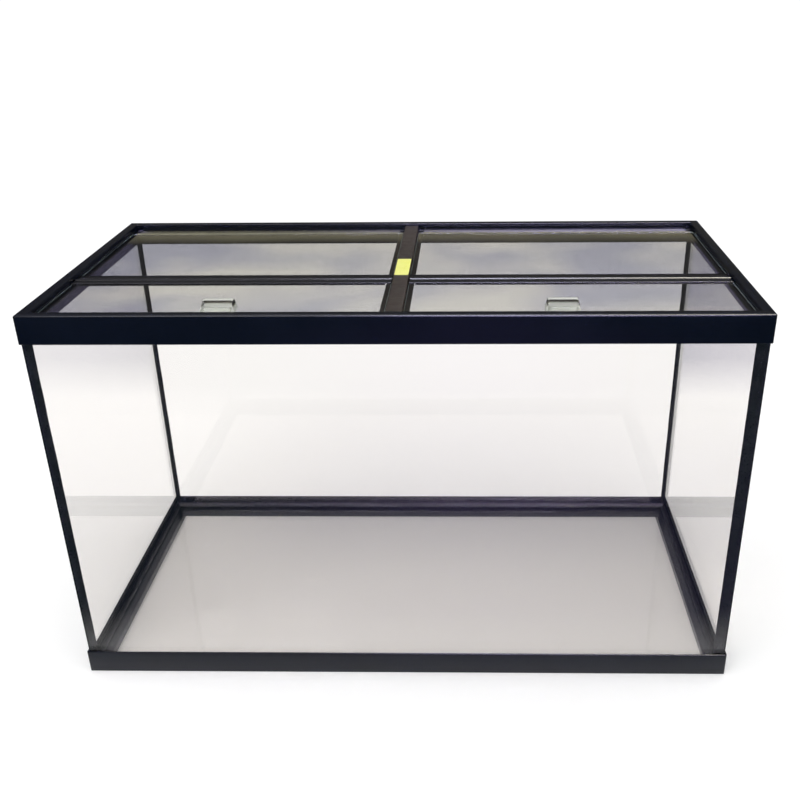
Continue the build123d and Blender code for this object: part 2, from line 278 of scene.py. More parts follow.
def bars(name, spans):
    """A group of small bars with rounded edges, each (x0, x1, y0, y1, z0, z1)."""
    sides = ((0, 1, 3, 2), (4, 6, 7, 5), (0, 4, 5, 1), (2, 3, 7, 6), (0, 2, 6, 4), (1, 5, 7, 3))
    verts, faces = [], []
    for x0, x1, y0, y1, z0, z1 in spans:
        faces += [[len(verts) + i for i in side] for side in sides]
        verts += [(x, y, z) for x in (x0, x1) for y in (y0, y1) for z in (z0, z1)]
    return mesh_object(name, verts, faces, offset=0.3 * MM, segments=2)


def join(name, *parts):
    """Puts the meshes of several objects into one, without merging them."""
    bm = bmesh.new()
    for part in parts:
        bm.from_mesh(part.data)
        bpy.data.objects.remove(part)
    return from_bmesh(name, bm)


def union(name, *parts, smooth=30.0):
    """One closed mesh from overlapping closed pieces."""
    for other in parts[1:]:
        modifier = parts[0].modifiers.new("union", "BOOLEAN")
        modifier.operation = "UNION"
        modifier.solver = "EXACT"
        modifier.object = other
    graph = bpy.context.evaluated_depsgraph_get()
    merged = bpy.data.meshes.new_from_object(parts[0].evaluated_get(graph), depsgraph=graph)
    for part in parts:
        bpy.data.objects.remove(part)
    bm = bmesh.new()
    bm.from_mesh(merged)
    bpy.data.meshes.remove(merged)
    bmesh.ops.remove_doubles(bm, verts=bm.verts[:], dist=0.00001)
    bmesh.ops.dissolve_degenerate(bm, edges=bm.edges[:], dist=0.000005)
    return from_bmesh(name, bm, smooth)


def paint(ob, mat):
    ob.data.materials.append(mat)


def put(ob, mat, body, node):
    """Paints a piece, fixes it to a body and lets it stand in for a CAD node."""
    paint(ob, mat)
    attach(ob, body)
    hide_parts(node)


# ------------------------------------------------------------------ shader node helpers
class Graph:
    """Adds shader nodes to a tree. Inputs take a number, a tuple or another node's output."""

    def __init__(self, tree):
        self.tree = tree

    def feed(self, socket, value):
        if isinstance(value, bpy.types.NodeSocket):
            self.tree.links.new(value, socket)
        else:
            socket.default_value = (*value, 1) if socket.type == "RGBA" else value

    def add(self, kind, inputs=None, **settings):
        node = self.tree.nodes.new("ShaderNode" + kind)
        for key, value in settings.items():
            setattr(node, key, value)
        for key, value in (inputs or {}).items():
            if value is not None:
                self.feed(node.inputs[key], value)
        return node

    def coords(self, scale=(1, 1, 1)):
        """Object space, which is the tank's frame as every piece sits at the origin."""
        place = self.add("TexCoord").outputs["Object"]
        return self.add("Mapping", {"Scale": scale, "Vector": place}).outputs["Vector"]

    def split(self, vector):
        return self.add("SeparateXYZ", {0: vector}).outputs

    def noise(self, where, scale, detail=4.0, rough=0.55, distort=0.0):
        return self.add("TexNoise", {
            "Scale": scale, "Detail": detail, "Roughness": rough, "Distortion": distort,
            "Vector": where}).outputs["Fac"]

    def remap(self, value, span, to=(0.0, 1.0), curve="LINEAR"):
        """Maps the range span onto the range to, clamped."""
        return self.add("MapRange", {
            "From Min": span[0], "From Max": span[1], "To Min": to[0], "To Max": to[1],
            "Value": value}, interpolation_type=curve).outputs["Result"]

    def calc(self, operation, *values, clamp=False):
        inputs = dict(enumerate(values))
        return self.add("Math", inputs, operation=operation, use_clamp=clamp).outputs[0]

    def mix(self, factor, a, b, blend="MIX"):
        """Mixes two colours."""
        return self.add("Mix", {0: factor, 6: a, 7: b},
                        data_type="RGBA", blend_type=blend).outputs[2]

    def ramp(self, value, stops):
        """Colour ramp from (position, colour) stops."""
        node = self.add("ValToRGB", {"Fac": value})
        elements = node.color_ramp.elements
        while len(elements) > 1:
            elements.remove(elements[-1])
        for i, (position, colour) in enumerate(stops):
            element = elements.new(position) if i else elements[0]
            element.position = position
            element.color = (*colour, 1)
        return node.outputs["Color"]

    def bump(self, height, strength, distance, normal=None):
        return self.add("Bump", {"Strength": strength, "Distance": distance, "Height": height,
                                 "Normal": normal}).outputs["Normal"]

    def mix_shader(self, factor, a, b):
        return self.add("MixShader", {0: factor, 1: a, 2: b}).outputs[0]

    def principled(self, inputs):
        return self.add("BsdfPrincipled", inputs).outputs[0]

    def output(self, shader):
        self.add("OutputMaterial", {"Surface": shader})


def material(name):
    """An empty node material and its graph."""
    mat = bpy.data.materials.new(name)
    mat.use_nodes = True
    mat.node_tree.nodes.clear()
    return mat, Graph(mat.node_tree)


def scaled(colour, gain, lift=0.0):
    return tuple(min(1.0, c * gain + lift) for c in colour)


def upness(g):
    """1 on faces that look up."""
    normal = g.add("NewGeometry").outputs["Normal"]
    return g.remap(g.split(normal)["Z"], span=(0.6, 1.0))


def rounded_edge_mask(g, radius):
    """Mask near edges, where true and rounded normal differ, and the rounded normal."""
    rounded = g.add("Bevel", {"Radius": radius}, samples=6).outputs[0]
    normal = g.add("NewGeometry").outputs["Normal"]
    dot = g.add("VectorMath", {0: rounded, 1: normal}, operation="DOT_PRODUCT")
    turned = g.calc("SUBTRACT", 1.0, dot.outputs["Value"])
    return g.remap(turned, span=(0.02, 0.25)), rounded


def pass_shadow_rays(g, surface, tint):
    """Lets lamps shine through a clear surface, tinted."""
    clear = g.add("BsdfTransparent", {"Color": tint}).outputs[0]
    shadow = g.add("LightPath").outputs["Is Shadow Ray"]
    g.output(g.mix_shader(shadow, surface, clear))


def reflection_mask(g):
    """1 for rays that have met a glossy surface, 0 for the light that lights the scene."""
    path = g.add("LightPath").outputs
    mirrored = g.calc("GREATER_THAN", path["Glossy Depth"], 0.5)
    return g.calc("MULTIPLY", mirrored, g.calc("SUBTRACT", 1.0, path["Is Diffuse Ray"]))


# ------------------------------------------------------------------ materials
def plastic(name, base, worn, rough, peel, dust, specular):
    """Moulded plastic: worn edges, dust on top, faint scratches and orange peel."""
    mat, g = material(name)
    here = g.coords()
    cloud = g.noise(here, scale=7.0, detail=3.0)
    mottle = g.noise(here, scale=60.0, detail=5.0)
    scratches = g.noise(g.coords(scale=(6.0, 90.0, 220.0)),
                        scale=4.0, detail=4.0, rough=0.6, distort=0.6)
    specks = g.noise(here, scale=240.0, detail=6.0, rough=0.7)
    edge_mask, rounded = rounded_edge_mask(g, radius=0.0011)

    colour = g.mix(g.remap(cloud, span=(0.3, 0.7)), base, scaled(base, gain=1.6, lift=0.0009))
    patchy_wear = g.calc("MULTIPLY", edge_mask, g.remap(mottle, span=(0.42, 0.66), to=(0.0, 0.7)))
    colour = g.mix(patchy_wear, colour, worn)
    dusty = g.calc("MULTIPLY", upness(g), g.remap(specks, span=(0.5, 0.8), to=(0.0, dust)))
    colour = g.mix(dusty, colour, (0.32, 0.31, 0.30))

    roughness = g.calc("ADD", g.remap(mottle, span=(0.25, 0.75), to=rough),
                       g.remap(scratches, span=(0.58, 0.72), to=(0.0, 0.10)))
    dust_roughness = g.calc("MULTIPLY", dusty, 0.8)
    roughness = g.calc("ADD", roughness, dust_roughness, clamp=True)
    normal = g.bump(g.noise(here, scale=110.0, detail=2.0),
                    strength=peel, distance=0.0006, normal=rounded)
    normal = g.bump(g.noise(here, scale=900.0, detail=2.0),
                    strength=0.12, distance=0.0002, normal=normal)
    g.output(g.principled({"Base Color": colour, "Roughness": roughness, "Normal": normal,
                           "Specular IOR Level": specular, "IOR": 1.52}))
    return mat


def extruded_vinyl(name, base, rough):
    """Black extruded vinyl: long die lines along X, faint gloss bands, and pale olive edges that
    are partly wear and partly a painted highlight.
    """
    mat, g = material(name)
    lines = g.noise(g.coords(scale=(1.2, 900.0, 900.0)), scale=1.0, detail=3.0, rough=0.5)
    blots = g.noise(g.coords(), scale=22.0, detail=4.0)
    specks = g.noise(g.coords(), scale=520.0, detail=3.0, rough=0.6)
    edge_mask, rounded = rounded_edge_mask(g, radius=0.0010)

    colour = g.mix(g.remap(lines, span=(0.35, 0.7)), base, scaled(base, gain=1.9, lift=0.001))
    # pale olive edges: partly wear, partly a painted highlight along the channel edges
    colour = g.mix(g.calc("MULTIPLY", edge_mask, 0.3), colour, (0.24, 0.23, 0.19))
    dusty = g.calc("MULTIPLY", upness(g), g.remap(specks, span=(0.55, 0.8), to=(0.0, 0.04)))
    colour = g.mix(dusty, colour, (0.36, 0.35, 0.34))
    roughness = g.calc("ADD", g.remap(blots, span=(0.3, 0.7), to=rough),
                       g.calc("MULTIPLY", dusty, 0.6), clamp=True)
    normal = g.bump(lines, strength=0.30, distance=0.00025, normal=rounded)
    normal = g.bump(blots, strength=0.15, distance=0.0008, normal=normal)
    g.output(g.principled({"Base Color": colour, "Roughness": roughness, "Normal": normal,
                           "IOR": 1.54}))
    return mat


def silicone(name):
    """Black silicone with shallow tooling marks."""
    mat, g = material(name)
    here = g.coords()
    cloud = g.noise(here, scale=45.0, detail=5.0, rough=0.6)
    grain = g.noise(here, scale=320.0, detail=4.0, rough=0.6)
    tooling = g.noise(g.coords(scale=(90.0, 90.0, 5.0)), scale=3.0, detail=3.0)
    colour = g.mix(g.remap(cloud, span=(0.35, 0.7)),
                   (0.004, 0.004, 0.005), (0.014, 0.014, 0.018))
    normal = g.bump(tooling, strength=0.35, distance=0.0008)
    g.output(g.principled({
        "Base Color": colour,
        "Roughness": g.remap(grain, span=(0.3, 0.75), to=(0.22, 0.5)),
        "Normal": g.bump(grain, strength=0.2, distance=0.0003, normal=normal),
        "IOR": 1.45}))
    return mat


def glass(name, thin_axis, face, edge, smudge, second_face=None, edge_clear=1.0):
    """Float glass: clear faces with faint smudges and lint, and tinted edges.

    Where second_face is given, the faces drift between it and face. edge_clear is the
    transmission of the edges and counts only for flat-lying sheets.
    """
    mat, g = material(name)
    normal = g.add("NewGeometry").outputs["True Normal"]
    facing = g.calc("ABSOLUTE", g.split(normal)[thin_axis])
    is_face = g.remap(facing, span=(0.85, 0.95))
    here = g.coords()
    film = g.noise(here, scale=5.0, detail=5.0, rough=0.65, distort=0.8)
    wipes = g.noise(g.coords(scale=(3.0, 14.0, 14.0)),
                    scale=2.2, detail=5.0, rough=0.6, distort=0.5)
    lint = g.noise(here, scale=420.0, detail=3.0, rough=0.6)
    edge_tone = g.remap(g.noise(here, scale=90.0, detail=3.0), span=(0.35, 0.7))
    edge_colour = g.mix(edge_tone, edge, scaled(edge, gain=1.25))
    face_colour = face
    # on the lids this drift is a painted reflection of a dim room's lavender and cream patches
    if second_face:
        tone = g.noise(here, scale=4.5, detail=1.5, rough=0.4, distort=0.3)
        face_colour = g.mix(g.remap(tone, span=(0.36, 0.64)), face, second_face)

    if thin_axis == "Z":
        specular = 0.5
        # ground edges scatter the light that runs inside the sheet
        transmission = g.remap(is_face, span=(0.0, 1.0), to=(edge_clear, 1.0))
    else:
        # hardly any sheen on the part behind the top rim
        rim_edge = (RIM_BOTTOM * MM - 0.002, RIM_BOTTOM * MM + 0.002)
        specular = g.remap(g.split(here)["Z"], span=rim_edge, to=(0.5, 0.06))
        transmission = 1.0

    smears = g.calc("MULTIPLY", g.remap(film, span=(0.45, 0.75)),
                    g.remap(wipes, span=(0.4, 0.7), to=(0.2, 1.0)))
    specks = g.remap(lint, span=(0.72, 0.80))
    roughness = g.calc("ADD", g.calc("MULTIPLY", smears, 0.05 * smudge),
                       g.calc("MULTIPLY", specks, 0.14 * smudge))
    clean_roughness = 0.0
    edge_roughness = 0.12
    roughness = g.calc("ADD", roughness, clean_roughness)
    roughness = g.add("Mix", {0: is_face, 2: edge_roughness, 3: roughness},
                      data_type="FLOAT").outputs[0]
    swell = g.noise(here, scale=3.5, detail=1.0)
    surface = g.principled({
        "Base Color": g.mix(is_face, edge_colour, face_colour), "Roughness": roughness,
        "Specular IOR Level": specular, "Transmission Weight": transmission, "IOR": 1.5,
        "Normal": g.bump(swell, strength=0.04, distance=0.002)})
    pass_shadow_rays(g, surface, tint=g.mix(is_face, edge, scaled(face, gain=0.97)))
    return mat


def clear_plastic(name, base, rough, ior, cloud, wave_height, wave_scale):
    """Clear plastic with flow waves and slight haze. cloud is the share that is opaque."""
    mat, g = material(name)
    here = g.coords()
    flow = g.noise(here, scale=wave_scale, detail=3.0, rough=0.5, distort=0.6)
    haze = g.noise(here, scale=160.0, detail=5.0, rough=0.65)
    surface = g.principled({
        "Base Color": g.mix(g.remap(flow, span=(0.35, 0.7)), base, scaled(base, gain=1.04)),
        "Roughness": g.remap(haze, span=(0.35, 0.75), to=rough),
        "Transmission Weight": 1.0 - cloud, "IOR": ior,
        "Normal": g.bump(flow, strength=wave_height, distance=0.0006)})
    pass_shadow_rays(g, surface, tint=scaled(base, gain=0.9))
    return mat


def paint_lip_highlight_and_throat_shade(mat, top):
    """Gives the finger handle a painted highlight on the lip at its top and painted shade in the
    throat just below.
    """
    band_height = 0.013
    # (height within the bands, value): painted highlight at the lip, painted shade in the throat
    highlight_and_shade_tones = [(0.0, (1.0, 1.0, 0.97)), (0.20, (0.97, 0.97, 0.92)), (0.34, (0.30, 0.29, 0.25)),
             (0.48, (0.08, 0.075, 0.065)), (0.80, (0.10, 0.095, 0.08)),
             (0.87, (0.84, 0.83, 0.79))]
    # the lip is also made less clear, which brightens the painted highlight
    clarity = [(0.0, 0.62), (0.22, 0.66), (0.36, 0.85), (0.82, 0.85), (0.88, 0.35)]
    g = Graph(mat.node_tree)
    surface = next(n for n in g.tree.nodes if n.type == "BSDF_PRINCIPLED").inputs
    z = g.split(g.add("TexCoord").outputs["Object"])["Z"]
    height = g.remap(z, span=(top - band_height, top))
    plain = surface["Base Color"].links[0].from_socket
    g.feed(surface["Base Color"], g.mix(1.0, plain, g.ramp(height, highlight_and_shade_tones), blend="MULTIPLY"))
    greys = [(position, (value,) * 3) for position, value in clarity]
    g.feed(surface["Transmission Weight"], g.ramp(height, greys))


def sticker(name):
    """Yellow paper sticker, slightly scuffed."""
    mat, g = material(name)
    here = g.coords()
    cloud = g.noise(here, scale=30.0, detail=4.0)
    fibre = g.noise(g.coords(scale=(900, 300, 300)), scale=1.0, detail=3.0)
    scuffs = g.noise(g.coords(scale=(60, 260, 60)),
                     scale=2.0, detail=6.0, rough=0.7, distort=1.0)
    colour = g.mix(g.remap(cloud, span=(0.3, 0.7)), (0.84, 0.845, 0.17), (0.90, 0.91, 0.27))
    colour = g.mix(g.remap(scuffs, span=(0.62, 0.74), to=(0.0, 0.35)),
                   colour, (0.55, 0.50, 0.16))
    normal = g.bump(cloud, strength=0.25, distance=0.0006)
    g.output(g.principled({
        "Base Color": colour,
        "Roughness": g.remap(scuffs, span=(0.3, 0.7), to=(0.22, 0.5)),
        "Normal": g.bump(fibre, strength=0.15, distance=0.0001, normal=normal)}))
    return mat


RIM_PLASTIC = plastic("rim_plastic", base=(0.0012, 0.0022, 0.0062), worn=(0.035, 0.04, 0.065),
                      rough=(0.10, 0.17), peel=0.12, dust=0.03, specular=0.42)
BRACE_PLASTIC = plastic("brace_plastic", base=(0.022, 0.0165, 0.012), worn=(0.10, 0.09, 0.08),
                        rough=(0.32, 0.46), peel=0.22, dust=0.14, specular=0.26)
SILICONE = silicone("black_silicone")
VINYL = extruded_vinyl("hinge_vinyl", base=(0.0045, 0.0045, 0.0060), rough=(0.09, 0.18))
TANK_TINTS = {"face": (0.995, 0.982, 0.968), "edge": (0.42, 0.72, 0.62)}
LONG_GLASS = glass("tank_glass_long", "Y", smudge=0.4, **TANK_TINTS)
END_GLASS = glass("tank_glass_end", "X", smudge=0.4, **TANK_TINTS)
FLOOR_GLASS = glass("tank_glass_floor", "Z", smudge=0.6, **TANK_TINTS)
# The lid faces are tinted a dark lavender-grey that drifts to cream: a painted reflection of a
# dim lavender and cream room, laid into the glass tint.
LID_GLASS = glass("lid_glass", "Z", face=(0.53, 0.535, 0.61), edge=(0.70, 0.86, 0.80),
                  smudge=0.8, second_face=(0.80, 0.785, 0.73), edge_clear=0.35)
CLEAR_VINYL = clear_plastic("clear_vinyl", base=(0.62, 0.60, 0.46), rough=(0.08, 0.20),
                            ior=1.50, cloud=0.20, wave_height=0.3, wave_scale=18.0)
ACRYLIC = clear_plastic("clear_acrylic", base=(0.93, 0.945, 0.92), rough=(0.03, 0.08),
                        ior=1.49, cloud=0.05, wave_height=0.12, wave_scale=60.0)
# painted highlight on the handle lip and painted shade under it
paint_lip_highlight_and_throat_shade(ACRYLIC, top=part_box("left_handle")[1].z)
ADHESIVE = clear_plastic("clear_adhesive", base=(0.86, 0.89, 0.88), rough=(0.30, 0.45),
                         ior=1.45, cloud=0.15, wave_height=0.3, wave_scale=120.0)
STICKER = sticker("yellow_sticker")

PANES = {
    "front_pane": LONG_GLASS, "back_pane": LONG_GLASS,
    "left_pane": END_GLASS, "right_pane": END_GLASS, "bottom_pane": FLOOR_GLASS,
    "left_front_glass": LID_GLASS, "left_rear_glass": LID_GLASS,
    "right_front_glass": LID_GLASS, "right_rear_glass": LID_GLASS,
}
for pane, pane_material in PANES.items():
    for slot in nodes[pane].material_slots:
        slot.link = "OBJECT"
        slot.material = pane_material


# ------------------------------------------------------------------ rims
def skirt_ribs(z0, z1):
    """Upright ribs on the inside of the skirt, evenly spaced along each side."""
    end_space, half_thickness = 60, 1.2
    outer, inner = 1.9, 3.35               # from the outer face; the ribs start in the skirt
    spans = []
    for count, run, across in ((12, WIDTH, DEPTH), (6, DEPTH, WIDTH)):
        for i in range(count):
            middle = -run / 2 + end_space + (run - 2 * end_space) * i / (count - 1)
            along = (middle - half_thickness, middle + half_thickness)
            for sign in (-1, 1):
                through = sorted((sign * (across / 2 - outer), sign * (across / 2 - inner)))
                x_span, y_span = (along, through) if run == WIDTH else (through, along)
                spans.append((*x_span, *y_span, z0, z1))
    return bars("skirt_ribs", spans)


def rim(name, node, profile, rib_z0, rib_z1):
    ring = ring_sweep("rim_ring", profile, side_steps=(10, 20), corner_steps=6)
    put(union(name, ring, skirt_ribs(rib_z0, rib_z1)), RIM_PLASTIC, "tank", node)


def top_rim():
    """Skirt and top plate, an inner wall, the ledge and a groove over the panes."""
    top_inner = 19.0
    ledge_under = LEDGE - RIM_WALL
    # inset from the outer face, z, corner radius
    profile = arc_profile([
        (0.0, RIM_BOTTOM, 0.8), (0.0, RIM_TOP, 3.0),
        (top_inner, RIM_TOP, 0.9), (top_inner, LEDGE, 0.5),
        (LEDGE_REACH, LEDGE, 0.7), (LEDGE_REACH, ledge_under, 0.5),
        (16.3, ledge_under, 0.4), (16.3, 698.0, 0.6), (13.8, 698.0, 0.6), (13.8, LEDGE, 0.4),
        (16.0, LEDGE, 0.4), (16.0, RIM_TOP - RIM_WALL, 0.5),
        (SKIRT, RIM_TOP - RIM_WALL, 0.6), (SKIRT, RIM_BOTTOM, 0.8),
    ], steps=5)
    rim("top_rim", "top_frame", profile, 684.0, RIM_TOP - 2.0)


def base_rim():
    """Skirt with a shelf under the panes and two feet turned in at z = 0."""
    shelf_top = PANE_BOTTOM - 0.1
    shelf_under = PANE_BOTTOM - RIM_WALL
    # inset from the outer face, z, corner radius
    profile = arc_profile([
        (0.0, 0.0, 0.8), (0.0, BASE_TOP, 1.6), (SKIRT, BASE_TOP, 0.7), (SKIRT, shelf_top, 0.6),
        (36.0, shelf_top, 0.8), (36.0, 0.0, 0.6), (27.0, 0.0, 0.6), (27.0, RIM_WALL, 0.6),
        (33.0, RIM_WALL, 0.6), (33.0, shelf_under, 0.6),
        (SKIRT, shelf_under, 0.6), (SKIRT, RIM_WALL, 0.6), (14.0, RIM_WALL, 0.6),
        (14.0, 0.0, 0.6),
    ], steps=4)
    rim("base_rim", "bottom_frame", profile, PANE_BOTTOM - 1.4, 40.0)


top_rim()
base_rim()

# ------------------------------------------------------------------ silicone
FILLET_STEPS = 9
FILLET_BOTTOM, FILLET_TOP = 32.0, 697.5    # the corner fillets tail off to these heights
THIN_LEG = 1.0
JOINT = 1.0                                # thickness of the layer between two panes


def seam_section(leg, sign_x, sign_y, z):
    """Corner bead section: a layer between the panes and a concave fillet inside.

    u runs inwards from the end pane's inner face, v from the long pane's inner face.
    """
    unevenness = min(1.0, leg / 4)
    wave_v = 0.55 * wave(sign_x * 3.1 + z * 0.011, sign_y * 2.7, z * 0.017)
    wave_u = 0.5 * wave(sign_x * 5.7, sign_y * 1.3 + z * 0.013, z * 0.023 + 9)
    leg_v = max(0.9, leg + wave_v * unevenness)
    leg_u = max(0.9, leg + wave_u * unevenness)
    points = [(-10.25, 0.30), (-9.9, GAP), (leg_u, GAP)]
    # quarter ellipse about (leg_u, leg_v), bulging towards the corner
    for k in range(1, FILLET_STEPS):
        t = math.pi / 2 * k / FILLET_STEPS
        u = leg_u - (leg_u - GAP) * math.sin(t)
        v = leg_v - (leg_v - GAP) * math.cos(t)
        points.append((max(u, GAP + 0.02), max(v, GAP + 0.02)))
    points += [(GAP, leg_v), (GAP, JOINT - GAP), (-9.9, JOINT - GAP), (-10.25, 0.70)]
    return [(sign_x * (INNER_X - u), sign_y * (INNER_Y - v), z) for u, v in points]


def seam_leg(full_leg, z):
    """Leg of the corner fillet at a height, smaller near both ends."""
    if not FILLET_BOTTOM < z < FILLET_TOP:
        return THIN_LEG
    if z > 690:
        return full_leg * min(1.0, 0.25 + (FILLET_TOP - z) / 5.0)
    return full_leg * min(1.0, 0.35 + (z - FILLET_BOTTOM) / 5.0)


def corner_seam(node, sign_x, sign_y, full_leg):
    seam = box_mm(node)
    heights = [seam.z0 + 0.1, 31.5, 32.5, 34.5, 38.0, *range(50, 688, 12),
               693.0, 696.0, 697.3, 697.6, seam.z1]
    sections = [seam_section(seam_leg(full_leg, z), sign_x, sign_y, z) for z in heights]
    put(loft(node + "_bead", sections, smooth=40.0), SILICONE, "tank", node)


def floor_seam():
    """Concave fillet all round on top of the floor pane."""
    wall = WIDTH / 2 - INNER_X
    leg = 8.0
    profile = [(wall + GAP, PANE_BOTTOM + 0.3), (wall + GAP, FLOOR_TOP + leg)]
    for k in range(1, FILLET_STEPS):
        t = math.pi / 2 * k / FILLET_STEPS
        profile.append((wall + leg - (leg - GAP) * math.cos(t),
                        FLOOR_TOP + leg - (leg - GAP) * math.sin(t)))
    profile += [(wall + leg, FLOOR_TOP + GAP), (wall + JOINT - GAP, FLOOR_TOP + GAP),
                (wall + JOINT - GAP, PANE_BOTTOM + 0.3)]

    def inward(position, inner_face):
        if abs(position) < inner_face - 12:
            return 0
        return -1 if position > 0 else 1

    def uneven_edge(i, x, y, z):
        # only the lower half of the fillet, down to its edge on the floor
        if not 6 <= i <= 10:
            return (0.0, 0.0, 0.0)
        amount = abs(0.5 * wave(x * 0.013, y * 0.013, 3.0))
        return (inward(x, INNER_X) * amount, inward(y, INNER_Y) * amount, 0.0)

    bead = ring_sweep("floor_seam_bead", profile, side_steps=(30, 60), corner_steps=3,
                      shift=uneven_edge, smooth=40.0)
    put(bead, SILICONE, "tank", "bottom_seam")


def top_rim_bead():
    """Flat bead between the tops of the panes and the rim."""
    bottom, top = PANE_TOP + GAP, PANE_TOP + 2.9
    profile = arc_profile([(4.3, bottom, 0.4), (4.3, top, 1.2), (12.7, top, 1.2),
                           (12.7, bottom, 0.4)], steps=3)
    bead = ring_sweep("top_rim_bead", profile, side_steps=(12, 24), corner_steps=3)
    put(bead, SILICONE, "tank", "top_frame_bead")


def base_rim_bead():
    """Thin bead between the base skirt and the panes, with an uneven top."""
    outer, inner = SKIRT + GAP, 3.6 - GAP
    profile = arc_profile([(outer, 41.0, 0.15), (outer, 45.0, 0.3), (inner, 44.7, 0.3),
                           (inner, 41.0, 0.15)], steps=3)

    def uneven_top(i, x, y, z):
        return (0.0, 0.0, 0.3 * wave(x * 0.02, y * 0.02, 1.7) if z > 43.5 else 0.0)

    bead = ring_sweep("base_rim_bead", profile, side_steps=(40, 80), corner_steps=3,
                      shift=uneven_top)
    put(bead, SILICONE, "tank", "bottom_frame_bead")


# node, sign of x, sign of y, full fillet leg
for corner in (
    ("corner_seam_front_left", -1, -1, 5.6), ("corner_seam_front_right", 1, -1, 11.2),
    ("corner_seam_back_left", -1, 1, 8.2), ("corner_seam_back_right", 1, 1, 8.2),
):
    corner_seam(*corner)
floor_seam()
top_rim_bead()
base_rim_bead()

# ------------------------------------------------------------------ centre brace
BRACE_TOP = box_mm("centre_brace").z1


def brace():
    """Inverted channel along Y with side rails, resting on the rim's ledges."""
    half_length = box_mm("centre_brace").y1
    rail_half_length = DEPTH / 2 - LEDGE_REACH - 0.3
    foot = LEDGE + 0.3
    # section points: x, z, corner radius
    channel = extrude("brace_channel", arc_profile([
        (-14.0, BRACE_TOP, 1.1), (14.0, BRACE_TOP, 1.1), (14.0, foot, 0.5), (11.5, foot, 0.5),
        (11.5, BRACE_TOP - 2.5, 0.8), (-11.5, BRACE_TOP - 2.5, 0.8), (-11.5, foot, 0.5),
        (-14.0, foot, 0.5),
    ], steps=4), -half_length, half_length, steps=8, place=along_y, bevel=0.2)
    block = arc_profile([
        (-12.5, BRACE_TOP - 1.5, 0.2), (12.5, BRACE_TOP - 1.5, 0.2),
        (12.5, LEDGE + 0.5, 0.2), (-12.5, LEDGE + 0.5, 0.2),
    ], steps=2)
    parts = [channel]
    for end in (-1, 1):
        parts.append(extrude("brace_end_block", block, end * (rail_half_length - 8),
                             end * (half_length - 0.9), place=along_y))
    for side in (-1, 1):
        rail = arc_profile([
            (side * 11.7, LEDGE - 3, 0.3), (side * 25.0, LEDGE - 3, 0.5),
            (side * 25.0, LEDGE, 0.7), (side * 13.7, LEDGE, 0.3),
            (side * 13.7, LEDGE + 1.4, 0.3), (side * 11.8, LEDGE + 1.4, 0.3),
        ], steps=3)
        parts.append(extrude("brace_rail", rail, -rail_half_length, rail_half_length,
                             steps=8, place=along_y, bevel=0.12))
    for i in range(7):
        y = -200 + 400 * i / 6
        parts.append(bars("brace_web",
                          [(-13.0, 13.0, y - 1.1, y + 1.1, 711.5, BRACE_TOP - 1.2)]))
    for end in (-1, 1):
        for side in (-1, 1):
            x0, x1 = sorted((side * 4.0, side * 10.0))
            tab_y = sorted((end * 279.0, end * 282.4))
            barb_y = sorted((end * 277.9, end * 279.4))
            parts.append(bars("brace_tab", [(x0, x1, *tab_y, 705.5, LEDGE + 1.2)]))
            parts.append(bars("brace_barb", [(x0 + 0.3, x1 - 0.3, *barb_y, 705.8, 709.5)]))
    put(union("brace", *parts), BRACE_PLASTIC, "tank", "centre_brace")


def brace_label():
    """Blank sticker on the brace with slightly lifted corners."""
    box = box_mm("brace_label")
    steps_x, steps_y = 12, 40
    thickness, clearance = 0.12, 0.02
    centre_x, centre_y = (box.x0 + box.x1) / 2, (box.y0 + box.y1) / 2
    verts = []
    for layer in (0.0, thickness):
        for j in range(steps_y + 1):
            for i in range(steps_x + 1):
                u, v = 2 * i / steps_x - 1, 2 * j / steps_y - 1
                # draw the outermost points in, which rounds the corners
                narrow_x = 1.0 - 0.05 * max(0.0, abs(v) * 40 - 39.0) * abs(u) ** 6
                narrow_y = 1.0 - 0.008 * abs(u) ** 8
                x = centre_x + u * (box.x1 - box.x0) / 2 * narrow_x
                y = centre_y + v * (box.y1 - box.y0) / 2 * narrow_y
                corner_lift = 0.10 * max(0.0, abs(u) + abs(v) - 1.86) / 0.14
                lift = corner_lift + 0.03 * (wave(x * 0.11, y * 0.07, 2.0) + 0.5)
                verts.append((x, y, BRACE_TOP + clearance + layer + lift))
    row = steps_x + 1
    top = row * (steps_y + 1)              # index of the first point of the top layer
    faces = []
    for j in range(steps_y):
        for i in range(steps_x):
            a = j * row + i
            faces.append((a, a + row, a + row + 1, a + 1))
            faces.append((top + a, top + a + 1, top + a + row + 1, top + a + row))
    border = [*range(row)]
    border += [j * row + steps_x for j in range(1, steps_y + 1)]
    border += [steps_y * row + i for i in range(steps_x - 1, -1, -1)]
    border += [j * row for j in range(steps_y - 1, 0, -1)]
    for a, b in zip(border, border[1:] + border[:1]):
        faces.append((a, b, top + b, top + a))
    put(mesh_object("label", verts, faces, smooth=50.0), STICKER, "tank",
        "brace_label")


brace()
brace_label()


